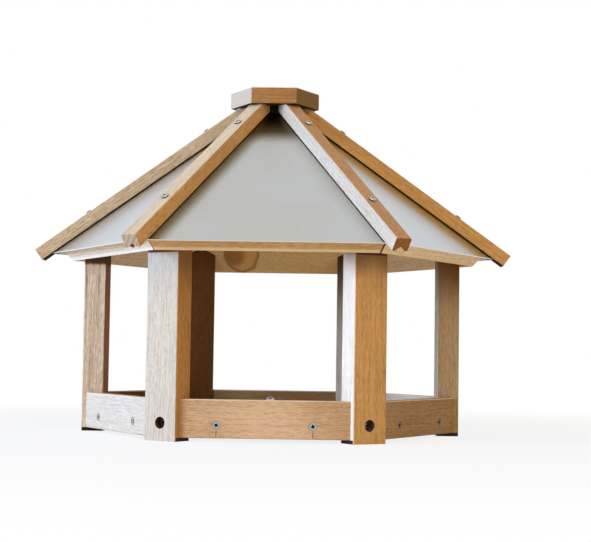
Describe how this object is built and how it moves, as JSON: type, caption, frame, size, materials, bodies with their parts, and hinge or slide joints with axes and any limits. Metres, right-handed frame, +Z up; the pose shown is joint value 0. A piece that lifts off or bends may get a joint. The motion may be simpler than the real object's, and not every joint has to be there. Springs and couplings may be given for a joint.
{
  "type": "bird feeding house",
  "caption": "Hexagonal bird feeding house: a railed seed tray on corner posts under a pitched sheet-metal roof with ridge battens and a small cap.",
  "frame": {"origin": "on the vertical centre line, at the level of the feet", "axes": "+Z up; -Y points out of the front side; the posts stand at 0, 60, 120 degrees and so on from +X"},
  "size_m": [0.5576, 0.4914, 0.3995],
  "materials": {
    "oak": "sawn and lightly sanded oak, bare",
    "zinc_sheet": "satin rolled zinc",
    "screw_steel": "bright zinc-plated steel",
    "nut_steel": "polished stainless steel"
  },
  "bodies": {
    "root": {"tray_floor": "oak", "rail_back_right": "oak", "rail_back": "oak", "rail_back_left": "oak", "rail_front_left": "oak", "rail_front": "oak", "rail_front_right": "oak", "post_right": "oak", "post_back_right": "oak", "post_back_left": "oak", "post_left": "oak", "post_front_left": "oak", "post_front_right": "oak", "eave_board_back_right": "oak", "eave_board_back": "oak", "eave_board_back_left": "oak", "eave_board_front_left": "oak", "eave_board_front": "oak", "eave_board_front_right": "oak", "roof_sheet_back_right": "zinc_sheet", "roof_sheet_back": "zinc_sheet", "roof_sheet_back_left": "zinc_sheet", "roof_sheet_front_left": "zinc_sheet", "roof_sheet_front": "zinc_sheet", "roof_sheet_front_right": "zinc_sheet", "ridge_batten_right": "oak", "ridge_batten_back_right": "oak", "ridge_batten_back_left": "oak", "ridge_batten_left": "oak", "ridge_batten_front_left": "oak", "ridge_batten_front_right": "oak", "peak_block": "oak", "roof_cap": "oak", "rail_screws": "screw_steel", "post_screws": "screw_steel", "eave_board_screws": "screw_steel", "batten_screws": "screw_steel", "cap_screw": "screw_steel", "pole_washer": "nut_steel", "pole_dome_nut": "nut_steel"}
  },
  "joints": []
}
